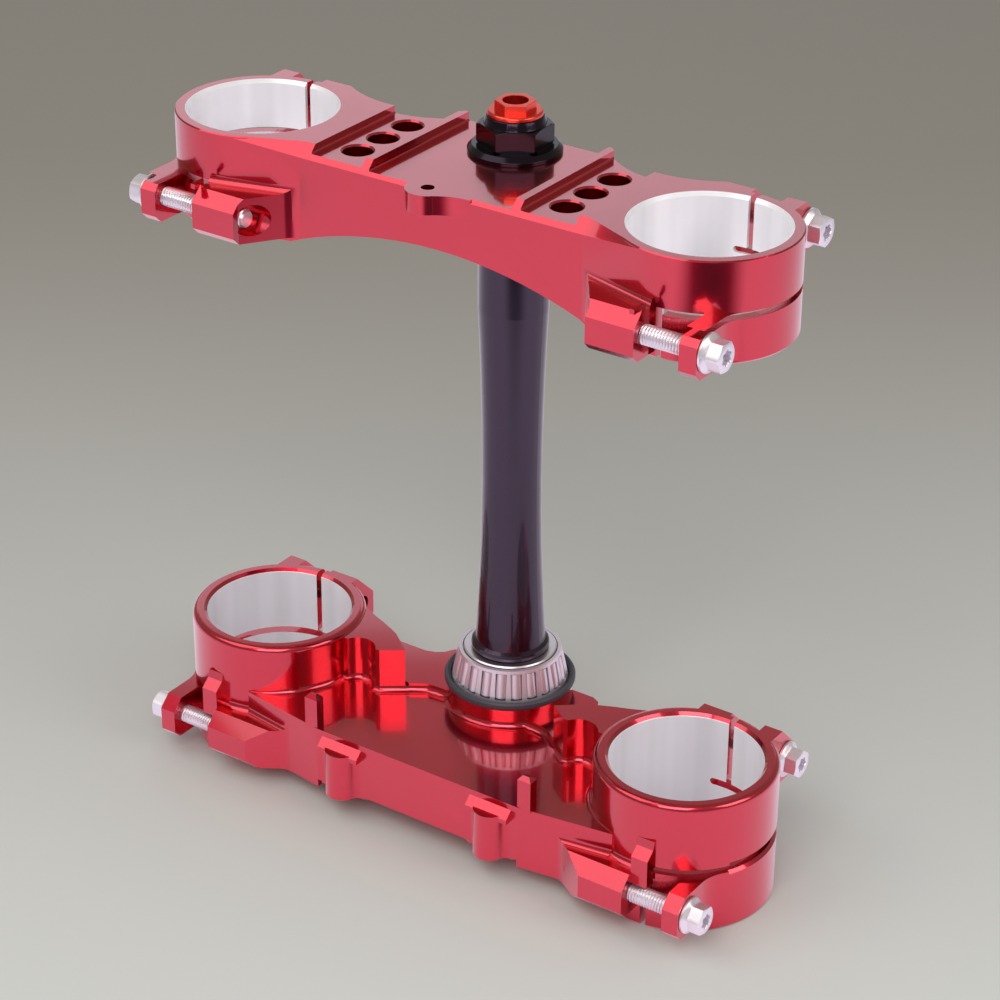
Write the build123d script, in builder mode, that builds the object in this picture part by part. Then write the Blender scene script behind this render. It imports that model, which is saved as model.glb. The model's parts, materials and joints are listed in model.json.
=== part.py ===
"""Motorcycle triple clamp: two fork clamps on a hollow steering stem.

Frame, in millimetres: X runs from the left fork to the right fork, +Y points to the rear of the
motorcycle and +Z points up the stem.  The origin is on the stem's axis, at the flat underside of
the lower clamp's two rings, on which the object stands.
"""
import os
from math import asin, atan2, cos, degrees, hypot, pi, sin, sqrt, tan
from build123d import *

os.makedirs("parts", exist_ok=True)

# Driving sizes
fork_x = 102.0            # half the distance between the two fork legs
fork_y = -26.0            # the fork legs stand in front of the stem by this much

low_bore_r = 30.75        # lower ring, bore for the thick part of the fork leg
low_wall = 6.3
low_height = 58.5
top_bore_r = 29.0         # upper ring, bore for the thinner part
top_wall = 5.5
top_height = 40.0
rim_span = 226.2          # from the lower clamp's upper rim to the upper clamp's upper rim

fit_gap = 0.02            # radial play of the pieces that are pushed on the stem
slip_gap = 0.05           # radial play of a turning or sliding fit

# bolts of the clamp bands
bolt_r = 4.0
bolt_hole_r = 4.3
bolt_tap_r = bolt_r + slip_gap
bolt_flange_r = 7.5
bolt_flange_t = 1.6
bolt_hex = 10.8           # width across the flats of the head
bolt_head_h = 8.0
bolt_recess_r = 2.6
bolt_recess_d = 3.6
bolt_tip_cut = 0.9
bolt_spot_r = 6.4         # flat spots that are milled for the ends of the front bolts
front_bolt_len = 47.0
rear_bolt_len = 35.0
slit = 2.5                # width of the vertical slits

# stem and its nut
journal_r = 15.0
top_journal_r = 14.1
stem_waist_r = 12.15
stem_bore_r = 8.5
stem_bore_top = 255.0     # from here up the bore is narrower, for the cap bolt
thread_r = 11.0
nut_flange_r = 18.45
nut_rim_t = 1.4
nut_shoulder_r = 16.6
nut_flange_t = 3.2
nut_hex = 26.0
nut_hex_h = 8.4
nut_hex_cut = 1.0
nut_cone_base_r = 12.2
nut_cone_h = 3.2
nut_cone_r = 10.9
nut_turn = 34.2           # degrees that the nut's corners are turned from the X axis
cap_flange_r = 10.75
cap_flange_t = 1.8
cap_hex = 14.0
cap_hex_h = 3.6
cap_socket_r = 5.0
cap_socket_d = 14.0
cap_shank_r = 7.4
cap_shank_len = 22.0

# steering bearing, cone half with its large end down
bearing_width = 17.0
race_top_r = 19.4
roller_count = 22
seal_r = 27.45
seal_h = 4.2

# Sizes that follow
low_ring_r = low_bore_r + low_wall
top_ring_r = top_bore_r + top_wall
top_z1 = low_height + rim_span
top_z0 = top_z1 - top_height
sides = (1, -1)


def tangent_point(px, py, radius):
    """Point where a line from (px, py) touches the front of the right-hand ring."""
    dx, dy = px - fork_x, py - fork_y
    dist = hypot(dx, dy)
    angle = atan2(dy, dx) + (pi / 2 - asin(radius / dist))
    return fork_x + radius * cos(angle), fork_y + radius * sin(angle)


def both(points):
    """Points of the right half, then the same points mirrored for the left half."""
    return [(x, y) for x, y in points] + [(-x, y) for x, y in reversed(points)]


def ear_outline(root, tip, z_low, z_high, cut_low, cut_high):
    """Side outline of a bolt ear in the YZ plane: a block whose tip corners are cut off."""
    way = 1 if tip > root else -1
    Polyline(
        (root, z_low), (tip - way * cut_low, z_low), (tip, z_low + cut_low),
        (tip, z_high - cut_high), (tip - way * cut_high, z_high), (root, z_high),
        close=True,
    )


# Upper clamp
top_front = -51.5
top_bend_x = 64.0
top_touch = tangent_point(top_bend_x, top_front, top_ring_r)
top_recess_x = 32.5       # half width of the low middle field that the stem nut stands in
top_recess = 3.6
top_ridge_x = 36.0
top_channel = 3.1
top_channel_x = 60.0
arch_height = 27.0        # thickness of the clamp in the middle
arch_end_x = 68.0
top_edge_cut = 5.0
top_ring_edge = 0.5       # outer edge of the ring's top face
rim_cut = 1.4             # inner edge of the ring's top face
foot_cut = 0.8
top_lead_in = 2.0         # cone at the lower end of the bore
foot_round = 0.8          # rounded foot of the milled channels
seat_z = top_z1 - top_recess
top_rear_ear_z = top_z1 - 19.6
top_front_ear_z = (top_z0 + 1.6, top_z1 - 20.0)
ledge_round = 3.0         # rounded corner above the front ears
top_slot_h = 2.5
top_slot_z = top_z1 - 21.3
slot_start_x = fork_x - 6.0
top_front_slit_x = fork_x + 1.0
top_rear_slit_x = fork_x + 0.5
top_front_bolt = (fork_y - 39.5, top_z1 - 29.2)
top_rear_bolt = (fork_y + 39.5, top_z1 - 10.6)
top_front_ear_tip = fork_y - 47.0
top_rear_ear_tip = fork_y + 46.5
top_body_ear_x = (fork_x - 22.0, fork_x - 1.6)
top_band_ear_x = (fork_x + 17.0, fork_x + 24.2)
top_rear_body_x = (fork_x - 15.0, fork_x - 2.6)
top_rear_band_x = (fork_x + 10.8, fork_x + 18.8)
bar_hole_x = 47.7
bar_hole_y = (-36.3, -20.25, -4.2)
bar_hole_r = 6.0
bar_hole_cut = 0.7
lobe_hole = (-5.0, -50.0)
lobe_hole_r = 2.6
lobe_hole_d = 6.0
lobe_h = 7.6
lobe_r = 8.8
lobe_join = (1.5, -56.0)   # the lobe's right side leaves its circle here
lobe_end_x = 15.0
top_back = (34.0, 15.5)    # the straight rear edge ends here
top_waist = (62.0, 4.0)    # the rear edge is narrowest here
top_hub_wall = 5.2         # metal round the stem bore
top_flow_r = 12.0          # fillet between the lower band's ear and the ring
ear_fillet_r = 8.0         # fillet between a front ear and the front wall
rear_ear_cuts = (3.0, 9.0)
top_tip_cuts = (4.0, 6.0)  # slopes at the tips of the front ears, below and above
beyond = 60.0              # reaches past the part, for cuts that run right through it


def ring_outline(outer, z_low, z_high, edge, round_edge):
    """Half section of a clamp ring before it is bored, with broken outer edges."""
    Polyline(
        (outer - edge, z_high), (0, z_high), (0, z_low), (outer - foot_cut, z_low),
        (outer, z_low + foot_cut), (outer, z_high - edge),
    )
    if round_edge:
        RadiusArc((outer, z_high - edge), (outer - edge, z_high), -edge)
    else:
        Line((outer, z_high - edge), (outer - edge, z_high))


def corner_outline(x, z):
    """Outline cleared in front of a wall at x, above a ledge at z, with a rounded corner."""
    Polyline(
        (x + ledge_round, z), (x + 30, z), (x + 30, z + 5), (x, z + 5), (x, z + ledge_round))
    TangentArc((x, z + ledge_round), (x + ledge_round, z), tangent=(0, -1))


def slot_edge_outline(ring_r, z, slot_h, cut):
    """Half section of the chamfers on both edges of a horizontal slot in a ring."""
    Polyline(
        (ring_r - cut, z - slot_h / 2), (ring_r + 1, z - slot_h / 2 - cut - 1),
        (ring_r + 1, z + slot_h / 2 + cut + 1), (ring_r - cut, z + slot_h / 2), close=True,
    )


def flow_ends(x_face, ring_r, radius):
    """Ends of a fillet between the outer face of a front ear and the right-hand ring."""
    dx = x_face + radius - fork_x
    dy = -sqrt((ring_r + radius) ** 2 - dx**2)
    share = ring_r / (ring_r + radius)
    return (x_face, fork_y + dy), (fork_x + dx * share, fork_y + dy * share)


def fork_plane(side):
    """XZ plane that holds the axis of one fork leg, X pointing away from the axis."""
    return Plane(origin=(side * fork_x, fork_y, 0), x_dir=(1, 0, 0), z_dir=(0, -1, 0))


def turned_fork_plane(side, angle):
    """Upright plane through the axis of a fork leg, its X at this angle to the object's X."""
    return Plane(
        origin=(side * fork_x, fork_y, 0), x_dir=(cos(angle), sin(angle), 0),
        z_dir=(sin(angle), -cos(angle), 0))


def fork_axis(side):
    return Axis((side * fork_x, fork_y, 0), (0, 0, 1))


def bolt_outline(side, x_end, x_free, x_face):
    """Half section of a bolt hole along X: tapped size up to x_free, clearance from there on."""
    Polyline(
        (side * x_end, 0), (side * x_end, bolt_tap_r), (side * x_free, bolt_tap_r),
        (side * x_free, bolt_hole_r), (side * (x_face + 1), bolt_hole_r),
        (side * (x_face + 1), 0), close=True,
    )


with BuildPart() as top_clamp:
    with BuildSketch(Plane.XY.offset(top_z0)):
        with BuildLine():
            Line((-top_bend_x, top_front), (top_bend_x, top_front))
            Line((-top_back[0], top_back[1]), top_back)
            for side in sides:
                Polyline(
                    (side * top_bend_x, top_front), (side * top_touch[0], top_touch[1]),
                    (side * fork_x, fork_y), (side * 84.0, fork_y + 30.0),
                    (side * top_waist[0], top_waist[1]))
                TangentArc(
                    (side * top_waist[0], top_waist[1]), (side * top_back[0], top_back[1]),
                    tangent=(-side, 0))
        make_face()
        Circle(top_journal_r + top_hub_wall)
    extrude(amount=top_height)
    # outline behind the handlebar mounts, flowing into the upper band
    with BuildSketch(Plane.XY.offset(top_rear_ear_z)):
        for side in sides:
            with BuildLine():
                TangentArc(
                    (side * top_waist[0], top_waist[1]), (side * top_rear_body_x[0], fork_y + 37.5),
                    tangent=(side, 0))
                Polyline(
                    (side * top_rear_body_x[0], fork_y + 37.5), (side * 90.0, fork_y + 37.5),
                    (side * fork_x, fork_y), (side * top_waist[0], -8.0),
                    (side * top_waist[0], top_waist[1]))
            make_face()
    extrude(amount=top_z1 - top_rear_ear_z)
    # sloping front edge, narrowing from the middle field to the rings
    with BuildSketch(Plane.YZ.offset(-top_bend_x)):
        with BuildLine():
            Polyline(
                (top_front - 1, top_z1 + 1), (top_front - 1, top_z1 - top_edge_cut - 1),
                (top_front + top_edge_cut + 1, top_z1 + 1), close=True)
        make_face()
    extrude(amount=2 * top_bend_x, mode=Mode.SUBTRACT)
    for side in sides:
        for x, y, cut in ((top_bend_x, top_front, top_edge_cut), (*top_touch, top_ring_edge)):
            with BuildSketch(Plane.YZ.offset(side * x)):
                with BuildLine():
                    Polyline(
                        (y - 1, top_z1 + 1), (y - 1, top_z1 - cut - 1), (y + cut + 1, top_z1 + 1),
                        close=True)
                make_face()
        loft(mode=Mode.SUBTRACT)
    # rings
    for side in sides:
        with BuildSketch(fork_plane(side)):
            with BuildLine():
                ring_outline(top_ring_r, top_z0, top_z1, top_ring_edge, False)
            make_face()
        revolve(axis=fork_axis(side), revolution_arc=360)
    # ears of the rear bolts: the inner one on the body, the outer one on the upper band
    for side in sides:
        for x0, x1 in (top_rear_body_x, top_rear_band_x):
            with BuildSketch(Plane.YZ.offset(side * x0)):
                with BuildLine():
                    ear_outline(
                        fork_y + 26.0, top_rear_ear_tip, top_rear_ear_z, top_z1, *rear_ear_cuts)
                make_face()
            extrude(amount=side * (x1 - x0))
    # ears of the front bolts on the lower band, flowing into the ring
    flow = flow_ends(top_band_ear_x[1], top_ring_r, top_flow_r)
    for side in sides:
        with BuildSketch(Plane.XY.offset(top_front_ear_z[0])):
            with BuildLine():
                RadiusArc(
                    (side * flow[0][0], flow[0][1]), (side * flow[1][0], flow[1][1]),
                    side * top_flow_r)
                Polyline(
                    (side * flow[1][0], flow[1][1]), (side * (flow[1][0] - 3), flow[1][1] + 3),
                    (side * top_band_ear_x[0], fork_y - 24.0),
                    (side * top_band_ear_x[0], top_front_ear_tip),
                    (side * top_band_ear_x[1], top_front_ear_tip),
                    (side * flow[0][0], flow[0][1]))
            make_face()
        extrude(amount=top_front_ear_z[1] - top_front_ear_z[0])
    # ears of the front bolts on the body, whose inner side runs back to the front wall
    top_front_run = (top_touch[0] - top_bend_x, top_touch[1] - top_front)
    top_front_run_len = hypot(*top_front_run)
    ear_foot = (68.0, top_front + (68.0 - top_bend_x) * top_front_run[1] / top_front_run[0])
    for side in sides:
        with BuildSketch(Plane.XY.offset(top_front_ear_z[0])) as plan:
            with BuildLine():
                Polyline(
                    (side * top_bend_x, top_front), (side * ear_foot[0], ear_foot[1]),
                    (side * top_body_ear_x[0], -70.0), (side * top_body_ear_x[0], top_front_ear_tip),
                    (side * top_body_ear_x[1], top_front_ear_tip),
                    (side * top_body_ear_x[1], fork_y - 30.0), (side * top_bend_x, fork_y - 20.0),
                    close=True)
            make_face()
            foot = (side * ear_foot[0], ear_foot[1], top_front_ear_z[0])
            fillet(plan.vertices().sort_by_distance(foot)[0], radius=ear_fillet_r)
        extrude(amount=top_front_ear_z[1] - top_front_ear_z[0] + ledge_round)
        outward = (side * top_front_run[1] / top_front_run_len, -top_front_run[0] / top_front_run_len, 0)
        back = (-top_front_run[0] / top_front_run_len, -side * top_front_run[1] / top_front_run_len, 0)
        run_out = top_body_ear_x[1] - top_touch[0] + 1
        end_x = top_touch[0] + run_out
        end_y = top_touch[1] + run_out * top_front_run[1] / top_front_run[0]
        with BuildSketch(Plane(
                origin=(side * end_x, end_y, top_front_ear_z[1]), x_dir=outward, z_dir=back)):
            with BuildLine():
                corner_outline(0, 0)
            make_face()
        extrude(
            amount=side * (top_front_run_len + hypot(end_x - top_touch[0], end_y - top_touch[1])),
            mode=Mode.SUBTRACT)
    # slopes at the tips of the front ears, above and below
    for side in sides:
        with BuildSketch(Plane.YZ.offset(side * top_bend_x)):
            z0, z1 = top_front_ear_z
            with BuildLine():
                Polyline(
                    (top_front_ear_tip - 1, z1 - top_tip_cuts[1]),
                    (top_front_ear_tip + top_tip_cuts[1], z1 + 1),
                    (top_front_ear_tip - 1, z1 + 1), close=True)
            make_face()
            with BuildLine():
                Polyline(
                    (top_front_ear_tip - 1, z0 + top_tip_cuts[0]),
                    (top_front_ear_tip + top_tip_cuts[0], z0 - 1),
                    (top_front_ear_tip - 1, z0 - 1), close=True)
            make_face()
        extrude(amount=side * (top_band_ear_x[1] + 1 - top_bend_x), mode=Mode.SUBTRACT)
    # arch of the underside
    with BuildSketch(Plane.XZ.offset(-beyond)):
        with BuildLine():
            ThreePointArc(
                (-arch_end_x, top_z0), (0, top_z1 - arch_height), (arch_end_x, top_z0))
            Polyline((arch_end_x, top_z0), (arch_end_x, top_z0 - 5), (-arch_end_x, top_z0 - 5),
                     (-arch_end_x, top_z0))
        make_face()
    extrude(amount=130, mode=Mode.SUBTRACT)
    # low middle field and the two channels of the handlebar mounts, with rounded feet
    with BuildSketch(Plane.XZ.offset(-beyond)):
        with Locations((0, top_z1)):
            RectangleRounded(2 * top_recess_x, 2 * top_recess, foot_round)
        with Locations(*[(side * (top_ridge_x + top_channel_x) / 2, top_z1) for side in sides]):
            RectangleRounded(top_channel_x - top_ridge_x, 2 * top_channel, foot_round)
    extrude(amount=130, mode=Mode.SUBTRACT)
    # small lobe on the front of the middle field, its right side running out along the wall
    with BuildSketch(Plane.XY.offset(seat_z)):
        with BuildLine():
            TangentArc((lobe_end_x, top_front), lobe_join, tangent=(-1, 0))
            Polyline(
                lobe_join, lobe_hole, (lobe_hole[0], top_front + 2), (lobe_end_x, top_front + 2),
                (lobe_end_x, top_front))
        make_face()
        with Locations(lobe_hole):
            Circle(lobe_r)
    extrude(amount=-lobe_h)
    with BuildSketch(Plane.XY.offset(seat_z)):
        with Locations(lobe_hole):
            Circle(lobe_hole_r)
    extrude(amount=-lobe_hole_d, mode=Mode.SUBTRACT)
    # round holes: fork bores, stem bore, handlebar mounts
    with BuildSketch(Plane.XY.offset(top_z0 - 1)):
        with Locations((fork_x, fork_y), (-fork_x, fork_y)):
            Circle(top_bore_r)
        Circle(top_journal_r + fit_gap)
        for side in sides:
            with Locations(*[(side * bar_hole_x, y) for y in bar_hole_y]):
                Circle(bar_hole_r)
    extrude(amount=top_height + 2, mode=Mode.SUBTRACT)
    for side in sides:
        with Locations((side * fork_x, fork_y, top_z1)):
            Cone(top_bore_r, top_bore_r + rim_cut, rim_cut, mode=Mode.SUBTRACT,
                 align=(Align.CENTER, Align.CENTER, Align.MAX))
        with Locations((side * fork_x, fork_y, top_z0)):
            Cone(top_bore_r + top_lead_in, top_bore_r, top_lead_in, mode=Mode.SUBTRACT,
                 align=(Align.CENTER, Align.CENTER, Align.MIN))
        with Locations(*[(side * bar_hole_x, y, top_z1 - top_channel) for y in bar_hole_y]):
            Cone(bar_hole_r, bar_hole_r + bar_hole_cut, bar_hole_cut, mode=Mode.SUBTRACT,
                 align=(Align.CENTER, Align.CENTER, Align.MAX))
    # bolt holes
    for side in sides:
        for (y, z), x_end, x_free, x_face in (
            (top_front_bolt, top_body_ear_x[0], top_body_ear_x[1], top_band_ear_x[1]),
            (top_rear_bolt, top_rear_body_x[0] - 4, top_rear_body_x[1], top_rear_band_x[1]),
        ):
            with BuildSketch(Plane(origin=(0, y, z), x_dir=(1, 0, 0), z_dir=(0, -1, 0))):
                with BuildLine():
                    bolt_outline(side, x_end, x_free, x_face)
                make_face()
            revolve(axis=Axis((0, y, z), (1, 0, 0)), revolution_arc=360, mode=Mode.SUBTRACT)
        # flat spot round the front bolt's end
        with BuildSketch(Plane.YZ.offset(side * (top_body_ear_x[0] + 0.5))):
            with Locations(top_front_bolt):
                Circle(bolt_spot_r)
        extrude(amount=-side * 14.0, mode=Mode.SUBTRACT)
    # horizontal slot between the bands, then the two vertical slits of each ring
    for side in sides:
        with BuildSketch(Plane.XZ.offset(-(fork_y + 60))):
            with Locations((side * (slot_start_x + 40), top_slot_z)):
                SlotOverall(80, top_slot_h)
        extrude(amount=60, mode=Mode.SUBTRACT)
        with BuildSketch(Plane.XZ.offset(-fork_y)):
            with Locations((side * (top_front_slit_x + 30), top_slot_z)):
                Rectangle(60 + slit, top_slot_h)
        extrude(amount=60, mode=Mode.SUBTRACT)
        with BuildSketch(Plane.XY.offset(top_z0)):
            with Locations((side * top_front_slit_x, fork_y - 35)):
                Rectangle(slit, 30)
        extrude(amount=top_slot_z - top_z0, mode=Mode.SUBTRACT)
        with BuildSketch(Plane.XY.offset(top_slot_z)):
            with Locations((side * top_rear_slit_x, fork_y + 40)):
                Rectangle(slit, 40)
        extrude(amount=top_z1 - top_slot_z, mode=Mode.SUBTRACT)
top_clamp.part.label = "top_clamp"
export_step(top_clamp.part, "parts/top_clamp.step")

# Lower clamp
low_front = -68.0
web_z0 = 11.7
haunch_z0 = 8.6
floor_z = low_height - 21.8
deck_z = low_height - 18.3
wall_z = low_height - 1.8
boss_z = low_height - 13.8
boss_z0 = 2.5
boss_r = 26.0
low_lead_in = 2.5
low_ring_edge = 2.5
low_slot_h = 3.0
low_slot_z = 27.9
slot_edge_cut = 1.2
low_front_slit_x = fork_x + 4.5
low_rear_slit_x = fork_x + 2.5
low_front_bolt = (fork_y - 40.2, 17.0)
low_rear_bolt = (fork_y + 40.2, low_height - 14.6)
low_front_ear_tip = fork_y - 48.5
low_rear_ear_tip = fork_y + 48.0
low_body_ear_x = (fork_x - 18.5, fork_x + 1.6)
low_band_ear_x = (fork_x + 20.0, fork_x + 27.2)
low_rear_body_x = (fork_x - 14.0, fork_x - 0.6)
low_rear_band_x = (fork_x + 14.4, fork_x + 22.4)
low_front_ear_z = (8.2, 26.8)
low_rear_ear_z = low_height - 24.5
low_wall_start = (50.0, low_front)                     # the front wall runs from here
low_wall_end = (fork_x - 11.0, fork_y - 36.0)          # to here, where it meets the ring
scallop = (55.5, -33.0)
scallop_r = 8.0
post_x = 53.0
post_w = 6.2
post_d = 4.4
post_h = 14.8
lug_x = (fork_x + 1.6, fork_x + 9.0)
fender_x = 37.2
fender_r = 7.0
fender_hole_r = 2.55
fender_z1 = 31.5
fender_pad = (26.0, 6.0)   # foot that joins a mudguard boss to the front wall
fender_hole_d = 15.0
low_flow_r = 16.0
low_rear_ear_cuts = (3.0, 11.2)
low_tip_cuts = (4.0, 6.5)
low_ear_run = 19.0         # the front wall is free for this far before the body ear starts
# rear edge of the web and of the deck, from the outer end to the stem, right half
low_back = [(80.0, 3.8), (46.4, 3.8), (42.3, 5.1), (39.0, 7.6), (36.8, 11.6), (33.0, 13.5)]

with BuildPart() as bottom_clamp:
    # web below the floor, and the boss of the stem
    low_front_run = (low_wall_end[0] - low_wall_start[0], low_wall_end[1] - low_wall_start[1])
    low_front_run_len = hypot(*low_front_run)
    with BuildSketch(Plane.XY.offset(web_z0)):
        with BuildLine():
            Polyline(
                *both([
                    low_wall_start, low_wall_end, (fork_x, fork_y), *low_back,
                ]),
                close=True,
            )
        make_face()
    extrude(amount=floor_z - web_z0)
    with BuildSketch(Plane.XY.offset(boss_z0)):
        Circle(boss_r)
    extrude(amount=boss_z - boss_z0)
    # haunches, where the web grows deeper towards the rings
    for side in sides:
        with BuildSketch(Plane.XY.offset(haunch_z0)):
            with BuildLine():
                Polyline(
                    (side * low_wall_start[0], low_front), (side * low_wall_end[0], low_wall_end[1]),
                    (side * fork_x, fork_y), (side * 80.0, 3.8), (side * low_wall_start[0], 3.8),
                    close=True)
            make_face()
        extrude(amount=web_z0 - haunch_z0)
        with BuildSketch(Plane.XZ.offset(-10)):
            with BuildLine():
                Polyline(
                    (side * (low_wall_start[0] - 1), web_z0), (side * 70.0, haunch_z0),
                    (side * 70.0, haunch_z0 - 1), (side * (low_wall_start[0] - 1), haunch_z0 - 1),
                    close=True)
            make_face()
        extrude(amount=90, mode=Mode.SUBTRACT)
    # deck behind the bearing seat, one step above the floor
    with BuildSketch(Plane.XY.offset(floor_z)):
        with BuildLine():
            Polyline(
                *both([
                    (24.5, -17.3), (30.0, -18.0), (36.5, -22.0), (74.0, -10.0), *low_back,
                ]),
                close=True,
            )
        make_face()
    extrude(amount=deck_z - floor_z)
    # high walls that run from the rings to the bearing seat
    for side in sides:
        with BuildSketch(Plane.XY.offset(floor_z)):
            with BuildLine():
                Polyline(
                    *[(side * x, y) for x, y in (
                        (37.4, -23.2), (46.2, -29.5), (72.0, -29.5), (78.0, -8.0), (72.0, -4.0),
                        (64.0, -7.7), (58.5, -9.8), (52.6, -12.4), (48.6, -14.4), (44.0, -17.9),
                        (40.3, -21.0))],
                    close=True,
                )
            make_face()
            with Locations((side * scallop[0], scallop[1])):
                Circle(scallop_r, mode=Mode.SUBTRACT)
        extrude(amount=wall_z - floor_z)
    # rings
    for side in sides:
        with BuildSketch(fork_plane(side)):
            with BuildLine():
                ring_outline(low_ring_r, 0, low_height, low_ring_edge, True)
            make_face()
        revolve(axis=fork_axis(side), revolution_arc=360)
    # ears of the rear bolts: the inner one on the body, the outer one on the upper band
    for side in sides:
        for x0, x1 in (low_rear_body_x, low_rear_band_x):
            with BuildSketch(Plane.YZ.offset(side * x0)):
                with BuildLine():
                    ear_outline(
                        fork_y + 27.0, low_rear_ear_tip, low_rear_ear_z, low_height,
                        *low_rear_ear_cuts)
                make_face()
            extrude(amount=side * (x1 - x0))
    # ears of the front bolts on the lower band, flowing into the ring
    flow = flow_ends(low_band_ear_x[1], low_ring_r, low_flow_r)
    for side in sides:
        with BuildSketch(Plane.XY.offset(low_front_ear_z[0])):
            with BuildLine():
                RadiusArc(
                    (side * flow[0][0], flow[0][1]), (side * flow[1][0], flow[1][1]),
                    side * low_flow_r)
                Polyline(
                    (side * flow[1][0], flow[1][1]), (side * (flow[1][0] - 3), flow[1][1] + 3),
                    (side * low_band_ear_x[0], fork_y - 26.0),
                    (side * low_band_ear_x[0], low_front_ear_tip),
                    (side * low_band_ear_x[1], low_front_ear_tip),
                    (side * flow[0][0], flow[0][1]))
            make_face()
        extrude(amount=low_front_ear_z[1] - low_front_ear_z[0])
    # ears of the front bolts on the body, below a ledge with a rounded corner
    share = low_ear_run / low_front_run[0]
    ear_foot = (low_wall_start[0] + low_ear_run, low_front + share * low_front_run[1])
    for side in sides:
        with BuildSketch(Plane.XY.offset(low_front_ear_z[0])) as plan:
            with BuildLine():
                Polyline(
                    (side * low_wall_start[0], low_front), (side * ear_foot[0], ear_foot[1]),
                    (side * low_body_ear_x[0], low_front_ear_tip),
                    (side * low_body_ear_x[1], low_front_ear_tip),
                    (side * low_body_ear_x[1], fork_y - 33.0),
                    (side * low_wall_start[0], fork_y - 30.0), close=True)
            make_face()
            foot = (side * ear_foot[0], ear_foot[1], low_front_ear_z[0])
            fillet(plan.vertices().sort_by_distance(foot)[0], radius=ear_fillet_r)
        extrude(amount=low_front_ear_z[1] - low_front_ear_z[0] + ledge_round)
        outward = (side * low_front_run[1] / low_front_run_len, -low_front_run[0] / low_front_run_len, 0)
        back = (-low_front_run[0] / low_front_run_len, -side * low_front_run[1] / low_front_run_len, 0)
        with BuildSketch(Plane(
                origin=(side * low_wall_end[0], low_wall_end[1], low_front_ear_z[1]),
                x_dir=outward, z_dir=back)):
            with BuildLine():
                corner_outline(0, 0)
            make_face()
        extrude(amount=side * low_front_run_len, mode=Mode.SUBTRACT)
        meet_angle = atan2(low_wall_end[1] - fork_y, low_wall_end[0] - fork_x)
        start = meet_angle if side > 0 else -pi / 2 - 0.06
        with BuildSketch(turned_fork_plane(side, start)):
            with BuildLine():
                corner_outline(low_ring_r, low_front_ear_z[1])
            make_face()
        revolve(
            axis=fork_axis(side), revolution_arc=degrees(-pi / 2 + 0.06 - meet_angle),
            mode=Mode.SUBTRACT)
    # slopes at the tips of the front ears, above and below
    for side in sides:
        with BuildSketch(Plane.YZ.offset(side * low_wall_start[0])):
            z0, z1 = low_front_ear_z
            with BuildLine():
                Polyline(
                    (low_front_ear_tip - 1, z1 - low_tip_cuts[1]),
                    (low_front_ear_tip + low_tip_cuts[1], z1 + 1),
                    (low_front_ear_tip - 1, z1 + 1), close=True)
            make_face()
            with BuildLine():
                Polyline(
                    (low_front_ear_tip - 1, z0 + low_tip_cuts[0]),
                    (low_front_ear_tip + low_tip_cuts[0], z0 - 1),
                    (low_front_ear_tip - 1, z0 - 1), close=True)
            make_face()
        extrude(amount=side * (low_band_ear_x[1] + 1 - low_wall_start[0]), mode=Mode.SUBTRACT)
    # short posts on the front edge of the floor
    for side in sides:
        with BuildSketch(Plane.XY.offset(floor_z - 1)):
            with Locations((side * post_x, low_front + post_d / 2 + 0.3)):
                Rectangle(post_w, post_d)
        extrude(amount=post_h - 0.8)
        with BuildSketch(Plane.XY.offset(floor_z + post_h - 1.8)):
            with Locations((side * post_x, low_front + post_d / 2 + 0.3)):
                Rectangle(post_w, post_d)
        extrude(amount=1.8, taper=42)
    # front bosses of the mudguard screws
    for side in sides:
        with BuildSketch(Plane.XY.offset(web_z0 - 1)) as plan:
            with Locations((side * fender_x, low_front)):
                Circle(fender_r)
            with Locations((side * fender_x, low_front + 3)):
                Rectangle(*fender_pad)
            corners = plan.vertices().group_by(Axis.Y)[0]
            fillet(corners, radius=3.0)
        extrude(amount=fender_z1 - web_z0 + 1)
        with BuildSketch(Plane.YZ.offset(side * (fender_x - 10))):
            with BuildLine():
                Polyline(
                    (low_front + 1, fender_z1 - 2.5), (low_front - 3.5, fender_z1 - 2.5),
                    (low_front - 3.5, fender_z1 - 0.5), (low_front, fender_z1 + 2.7),
                    (low_front + 1, fender_z1 + 2.7), close=True)
            make_face()
        extrude(amount=side * 20.0)
        with BuildSketch(Plane.XY.offset(web_z0 - 1)):
            with Locations((side * fender_x, low_front + 0.5)):
                Circle(fender_hole_r)
        extrude(amount=fender_hole_d + 1, mode=Mode.SUBTRACT)
    # fork bores and stem bore
    with BuildSketch(Plane.XY.offset(-1)):
        with Locations((fork_x, fork_y), (-fork_x, fork_y)):
            Circle(low_bore_r)
        Circle(journal_r + fit_gap)
    extrude(amount=low_height + 2, mode=Mode.SUBTRACT)
    for side in sides:
        with Locations((side * fork_x, fork_y, low_height)):
            Cone(low_bore_r, low_bore_r + rim_cut, rim_cut, mode=Mode.SUBTRACT,
                 align=(Align.CENTER, Align.CENTER, Align.MAX))
        with Locations((side * fork_x, fork_y, 0)):
            Cone(low_bore_r + low_lead_in, low_bore_r, low_lead_in, mode=Mode.SUBTRACT,
                 align=(Align.CENTER, Align.CENTER, Align.MIN))
    # bolt holes
    for side in sides:
        for (y, z), x_end, x_free, x_face in (
            (low_front_bolt, low_band_ear_x[1] - front_bolt_len - 2, low_body_ear_x[1],
             low_band_ear_x[1]),
            (low_rear_bolt, low_rear_body_x[0] - 4, low_rear_body_x[1], low_rear_band_x[1]),
        ):
            with BuildSketch(Plane(origin=(0, y, z), x_dir=(1, 0, 0), z_dir=(0, -1, 0))):
                with BuildLine():
                    bolt_outline(side, x_end, x_free, x_face)
                make_face()
            revolve(axis=Axis((0, y, z), (1, 0, 0)), revolution_arc=360, mode=Mode.SUBTRACT)
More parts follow.
